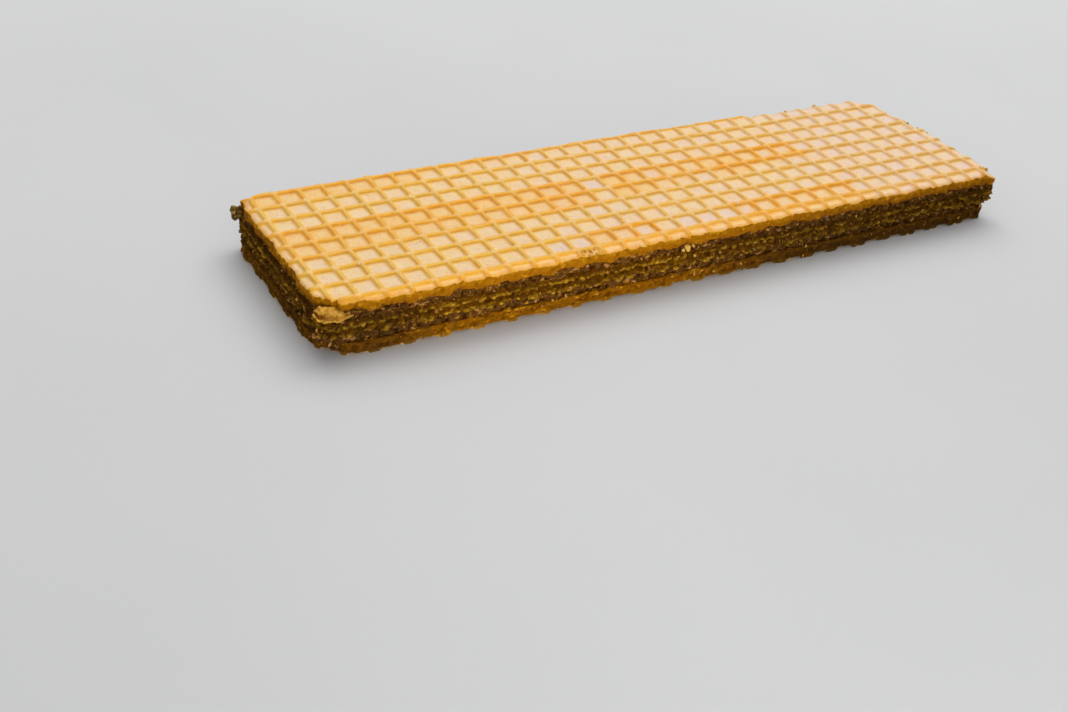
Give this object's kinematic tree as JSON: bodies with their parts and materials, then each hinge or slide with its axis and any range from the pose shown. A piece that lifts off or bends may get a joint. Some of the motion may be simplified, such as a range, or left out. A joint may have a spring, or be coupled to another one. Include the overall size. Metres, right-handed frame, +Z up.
{
  "type": "chocolate wafer",
  "caption": "Oblong sandwich biscuit of crisp ridged wafer sheets with cocoa cream between them, lying flat.",
  "frame": {"origin": "middle of the underside, on the plane of the crests of its ridges", "axes": "+X along the bar's length, +Y across its width, +Z up out of the upper face"},
  "size_m": [0.1067, 0.029, 0.0078],
  "materials": {
    "wafer": "dry baked wafer, pale yellow to golden, matt",
    "inner_wafer": "porous cut wafer, olive yellow, matt",
    "cocoa_cream": "dry crumbly cocoa cream, brown, matt"
  },
  "bodies": {
    "root": {"bottom_sheet": "wafer", "cream_lower": "cocoa_cream", "middle_sheet": "inner_wafer", "cream_upper": "cocoa_cream", "top_sheet": "wafer"}
  },
  "joints": []
}
